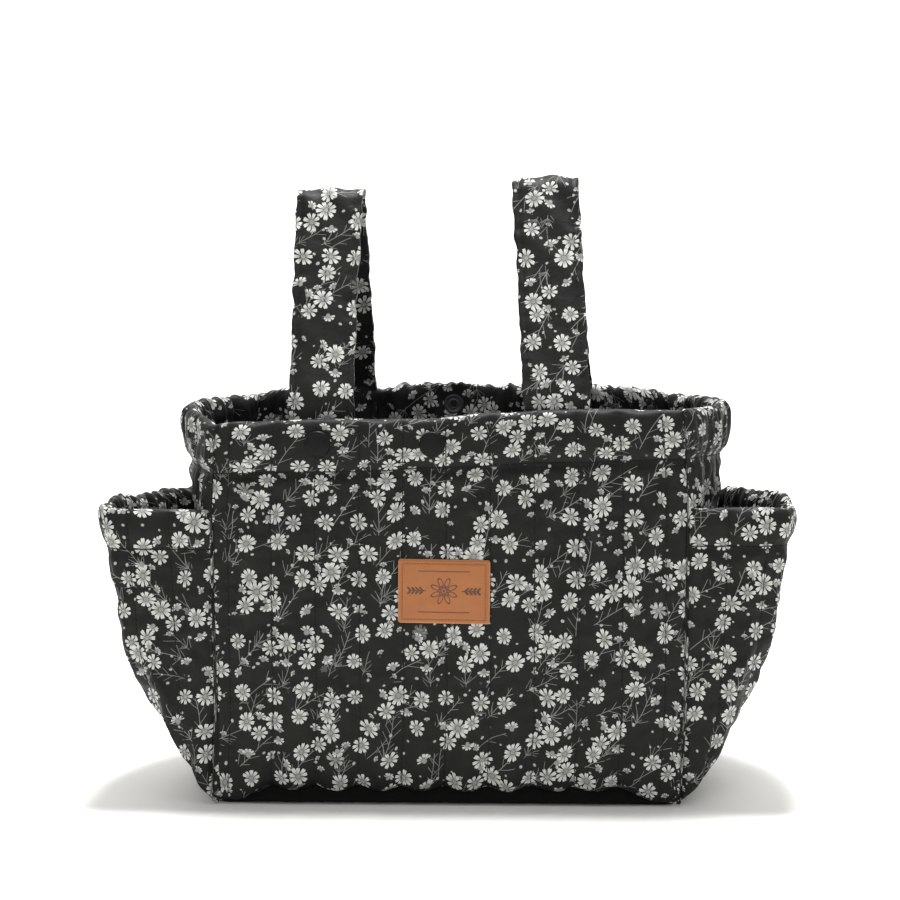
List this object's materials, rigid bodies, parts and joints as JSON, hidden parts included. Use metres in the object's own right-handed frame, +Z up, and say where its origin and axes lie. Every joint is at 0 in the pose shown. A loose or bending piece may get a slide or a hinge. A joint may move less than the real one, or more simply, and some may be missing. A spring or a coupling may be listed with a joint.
{
  "type": "diaper bag",
  "caption": "Soft open-topped quilted tote for baby things, with a gathered rim, an elastic-topped pocket on each side and snap-open straps that hang it from a pram.",
  "frame": {"origin": "centre of the base's underside, which is the bottom centre of the whole bag's box", "axes": "+Z up, -Y the front face with the label, +X the bag's right-hand end seen from the front"},
  "size_m": [0.4126, 0.145, 0.3679],
  "materials": {
    "floral_cloth": "black woven polyester printed with small off-white flowers, quilted to its wadding",
    "floral_lining": "the same printed cloth, inside",
    "wadding": "soft polyester wadding, sealed between shell and lining",
    "elastic": "flat woven elastic, sealed in a hem",
    "snap_cap": "black domed snap cap, satin",
    "snap_metal": "dark lacquered snap stud and socket",
    "label_leather": "tan leather patch with a stitched border and a plain embossed motif"
  },
  "bodies": {
    "bag": {"back_hem_elastic": "elastic", "back_lining": "floral_lining", "back_shell": "floral_cloth", "back_wadding": "wadding", "base_lining": "floral_lining", "base_shell": "floral_cloth", "base_wadding": "wadding", "closure_back_cap": "snap_cap", "closure_front_cap": "snap_cap", "closure_socket": "snap_metal", "closure_stud": "snap_metal", "front_lining": "floral_lining", "front_shell": "floral_cloth", "front_wadding": "wadding", "leather_label": "label_leather", "left_hem_elastic": "elastic", "left_pocket_elastic": "elastic", "left_pocket_lining": "floral_lining", "left_pocket_shell": "floral_cloth", "left_pocket_wadding": "wadding", "left_side_lining": "floral_lining", "left_side_shell": "floral_cloth", "left_side_wadding": "wadding", "left_strap_sewn_end": "floral_cloth", "left_strap_stud": "snap_metal", "left_strap_wall_cap": "snap_cap", "right_hem_elastic": "elastic", "right_pocket_elastic": "elastic", "right_pocket_lining": "floral_lining", "right_pocket_shell": "floral_cloth", "right_pocket_wadding": "wadding", "right_side_lining": "floral_lining", "right_side_shell": "floral_cloth", "right_side_wadding": "wadding", "right_strap_sewn_end": "floral_cloth", "right_strap_stud": "snap_metal", "right_strap_wall_cap": "snap_cap"},
    "left_strap": {"left_strap_inner_cover": "floral_cloth", "left_strap_outer_cover": "floral_cloth", "left_strap_snap_cap": "snap_cap", "left_strap_socket": "snap_metal", "left_strap_wadding": "wadding"},
    "right_strap": {"right_strap_inner_cover": "floral_cloth", "right_strap_outer_cover": "floral_cloth", "right_strap_snap_cap": "snap_cap", "right_strap_socket": "snap_metal", "right_strap_wadding": "wadding"}
  },
  "joints": [
    {"name": "left_strap_hinge", "type": "hinge", "parent": "bag", "child": "left_strap", "pos_m": [-0.075, 0.0605, 0.2395], "axis": [-1, 0, 0], "range_deg": [0, 110]},
    {"name": "right_strap_hinge", "type": "hinge", "parent": "bag", "child": "right_strap", "pos_m": [0.061, -0.0605, 0.2395], "axis": [1, 0, 0], "range_deg": [0, 110]}
  ]
}
